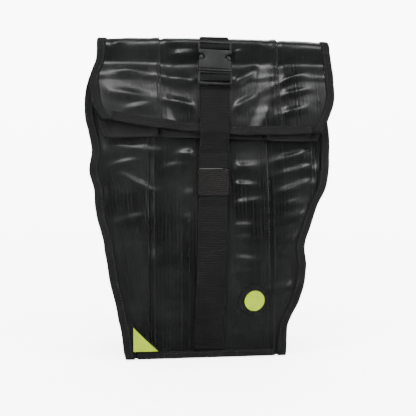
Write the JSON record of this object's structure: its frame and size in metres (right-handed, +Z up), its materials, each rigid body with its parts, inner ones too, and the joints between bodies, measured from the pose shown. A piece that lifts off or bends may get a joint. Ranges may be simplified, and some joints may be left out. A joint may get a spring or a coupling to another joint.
{
  "type": "bicycle messenger backpack",
  "caption": "Upright fold-top backpack sewn from rubber strips, with a webbing closure strap, a side-release buckle and two shoulder straps.",
  "frame": {"origin": "centre of the bounding box's bottom face, on the floor that the bag stands on", "axes": "+Z up from the base to the folded top, +X to the right when the closure strap faces the viewer, -Y is the front with the closure strap, +Y is the back with the shoulder straps"},
  "size_m": [0.3262, 0.164, 0.4117],
  "materials": {
    "inner_tube": "semi-gloss, fine moulded ribs",
    "nylon": "woven, dull",
    "padding": "woven, dull, padded",
    "webbing": "woven webbing, dull",
    "buckle_plastic": "moulded, satin",
    "reflective": "lime reflective sheet"
  },
  "bodies": {
    "root": {"front_tube_strip_1": "inner_tube", "front_tube_strip_2": "inner_tube", "front_tube_strip_3": "inner_tube", "front_tube_strip_4": "inner_tube", "back_tube_strip_1": "inner_tube", "back_tube_strip_2": "inner_tube", "back_tube_strip_3": "inner_tube", "back_tube_strip_4": "inner_tube", "left_gusset": "nylon", "right_gusset": "nylon", "base_panel": "nylon", "front_left_tape": "nylon", "front_right_tape": "nylon", "back_left_tape": "nylon", "back_right_tape": "nylon", "mouth_tape_outer": "nylon", "mouth_tape_inner": "nylon", "base_tape_front": "nylon", "base_tape_back": "nylon", "base_tape_left": "nylon", "base_tape_right": "nylon", "corner_backing": "nylon", "badge_patch": "nylon", "left_shoulder_strap": "padding", "right_shoulder_strap": "padding", "closure_strap": "webbing", "upper_strap": "webbing", "strap_keeper": "webbing", "left_lower_webbing": "webbing", "right_lower_webbing": "webbing", "buckle_socket": "buckle_plastic", "buckle_plug": "buckle_plastic", "left_adjuster": "buckle_plastic", "right_adjuster": "buckle_plastic", "reflective_triangle": "reflective", "badge_dot": "reflective"}
  },
  "joints": []
}
